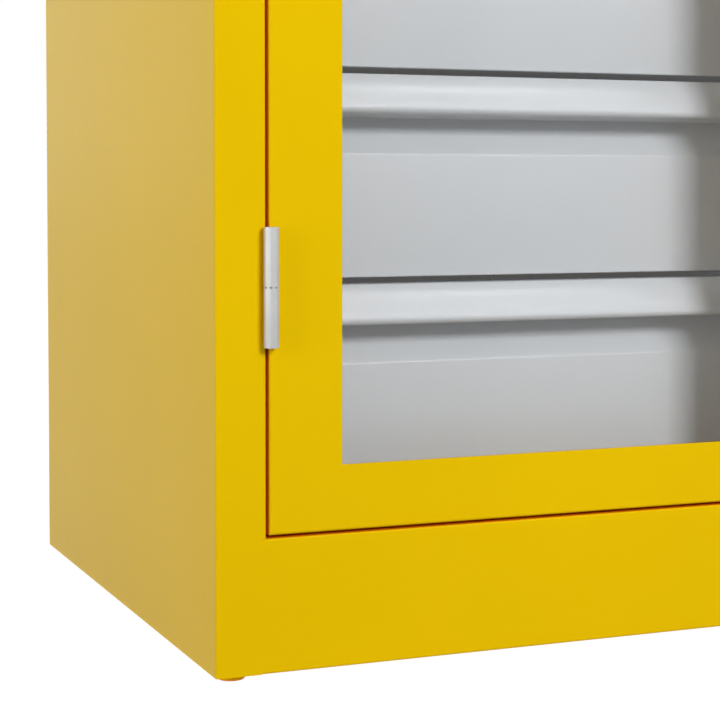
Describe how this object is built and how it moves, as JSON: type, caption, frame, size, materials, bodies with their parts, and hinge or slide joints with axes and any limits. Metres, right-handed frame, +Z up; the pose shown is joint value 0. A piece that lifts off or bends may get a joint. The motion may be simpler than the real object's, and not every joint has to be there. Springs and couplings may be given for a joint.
{
  "type": "storage cabinet",
  "caption": "Floor-standing steel storage cabinet with a stack of drawers behind two inset window doors on barrel hinges.",
  "frame": {"origin": "on the floor under the middle of the overall box, handle and hinges included", "axes": "+Z up, front with the doors towards -Y, +X to the right seen from the front"},
  "size_m": [0.93, 0.536, 1],
  "materials": {
    "body_paint": "smooth satin powder coat, yellow",
    "drawer_paint": "smooth satin powder coat, light grey",
    "zinc_steel": "bright zinc plate",
    "clear_pane": "clear, clean",
    "roller_plastic": "natural white plastic",
    "black_plastic": "fine-grained black",
    "bright_metal": "polished nickel"
  },
  "bodies": {
    "cabinet": {"left_side_panel": "body_paint", "right_side_panel": "body_paint", "rear_panel": "body_paint", "floor_panel": "body_paint", "top_panel": "body_paint", "corner_plates": "body_paint", "feet": "body_paint", "foot_nuts": "zinc_steel", "door_stops": "body_paint", "front_posts": "drawer_paint", "rear_posts": "drawer_paint", "frame_hinge_screws": "zinc_steel", "frame_hinge_halves": "zinc_steel", "hinge_pins": "zinc_steel", "cabinet_runners": "zinc_steel", "cabinet_rollers": "roller_plastic"},
    "left_door": {"left_door_frame": "body_paint", "left_door_pane": "clear_pane", "left_pane_retainer": "body_paint", "left_door_hinge_halves": "zinc_steel", "left_door_hinge_screws": "zinc_steel", "left_rod_guides": "black_plastic"},
    "top_bolt": {"left_top_bolt": "zinc_steel"},
    "bottom_bolt": {"left_bottom_bolt": "zinc_steel"},
    "right_door": {"right_door_frame": "body_paint", "right_door_pane": "clear_pane", "right_pane_retainer": "body_paint", "right_door_hinge_halves": "zinc_steel", "right_door_hinge_screws": "zinc_steel", "right_rod_guides": "black_plastic", "handle_rose": "black_plastic", "lock_case": "zinc_steel"},
    "lock_handle": {"handle": "black_plastic", "lock_cam": "zinc_steel"},
    "lock_core": {"key_core": "bright_metal"},
    "upper_rod": {"upper_lock_rod": "zinc_steel"},
    "lower_rod": {"lower_lock_rod": "zinc_steel"},
    "drawer_1": {"drawer_1_front": "drawer_paint", "drawer_1_tray": "drawer_paint", "drawer_1_runners": "zinc_steel"},
    "drawer_2": {"drawer_2_front": "drawer_paint", "drawer_2_tray": "drawer_paint", "drawer_2_runners": "zinc_steel"},
    "drawer_3": {"drawer_3_front": "drawer_paint", "drawer_3_tray": "drawer_paint", "drawer_3_runners": "zinc_steel"},
    "drawer_4": {"drawer_4_front": "drawer_paint", "drawer_4_tray": "drawer_paint", "drawer_4_runners": "zinc_steel"},
    "drawer_5": {"drawer_5_front": "drawer_paint", "drawer_5_tray": "drawer_paint", "drawer_5_runners": "zinc_steel"},
    "drawer_6": {"drawer_6_front": "drawer_paint", "drawer_6_tray": "drawer_paint", "drawer_6_runners": "zinc_steel"}
  },
  "joints": [
    {"name": "right_door_hinge", "type": "hinge", "parent": "cabinet", "child": "right_door", "pos_m": [0.4276, -0.237, 0.5], "axis": [0, 0, 1], "range_deg": [0, 180]},
    {"name": "left_door_hinge", "type": "hinge", "parent": "cabinet", "child": "left_door", "pos_m": [-0.4276, -0.237, 0.5], "axis": [0, 0, 1], "range_deg": [-180, 0]},
    {"name": "handle_turn", "type": "hinge", "parent": "right_door", "child": "lock_handle", "pos_m": [0.0195, -0.232, 0.56], "axis": [0, 1, 0], "range_deg": [0, 90]},
    {"name": "upper_rod_slide", "type": "slide", "parent": "right_door", "child": "upper_rod", "axis": [0, 0, 1], "range_m": [0, 0.0128]},
    {"name": "lower_rod_slide", "type": "slide", "parent": "right_door", "child": "lower_rod", "axis": [0, 0, -1], "range_m": [0, 0.0128]},
    {"name": "key_turn", "type": "hinge", "parent": "right_door", "child": "lock_core", "pos_m": [0.0195, -0.232, 0.53], "axis": [0, 1, 0], "range_deg": [0, 90]},
    {"name": "top_bolt_slide", "type": "slide", "parent": "left_door", "child": "top_bolt", "axis": [0, 0, 1], "range_m": [0, 0.0125]},
    {"name": "bottom_bolt_slide", "type": "slide", "parent": "left_door", "child": "bottom_bolt", "axis": [0, 0, -1], "range_m": [0, 0.0125]},
    {"name": "drawer_1_slide", "type": "slide", "parent": "cabinet", "child": "drawer_1", "axis": [0, -1, 0], "range_m": [0, 0.3]},
    {"name": "drawer_2_slide", "type": "slide", "parent": "cabinet", "child": "drawer_2", "axis": [0, -1, 0], "range_m": [0, 0.3]},
    {"name": "drawer_3_slide", "type": "slide", "parent": "cabinet", "child": "drawer_3", "axis": [0, -1, 0], "range_m": [0, 0.3]},
    {"name": "drawer_4_slide", "type": "slide", "parent": "cabinet", "child": "drawer_4", "axis": [0, -1, 0], "range_m": [0, 0.3]},
    {"name": "drawer_5_slide", "type": "slide", "parent": "cabinet", "child": "drawer_5", "axis": [0, -1, 0], "range_m": [0, 0.3]},
    {"name": "drawer_6_slide", "type": "slide", "parent": "cabinet", "child": "drawer_6", "axis": [0, -1, 0], "range_m": [0, 0.3]}
  ],
  "couplings": [
    {"joint": "left_door_hinge", "follows": "right_door_hinge", "ratio": -1},
    {"joint": "upper_rod_slide", "follows": "handle_turn", "m_per_rad": 0.0081},
    {"joint": "lower_rod_slide", "follows": "handle_turn", "m_per_rad": 0.0081},
    {"joint": "drawer_1_slide", "follows": "right_door_hinge", "m_per_rad": 0.09549},
    {"joint": "drawer_2_slide", "follows": "right_door_hinge", "m_per_rad": 0.09549},
    {"joint": "drawer_3_slide", "follows": "right_door_hinge", "m_per_rad": 0.09549},
    {"joint": "drawer_4_slide", "follows": "right_door_hinge", "m_per_rad": 0.09549},
    {"joint": "drawer_5_slide", "follows": "right_door_hinge", "m_per_rad": 0.09549},
    {"joint": "drawer_6_slide", "follows": "right_door_hinge", "m_per_rad": 0.09549}
  ]
}
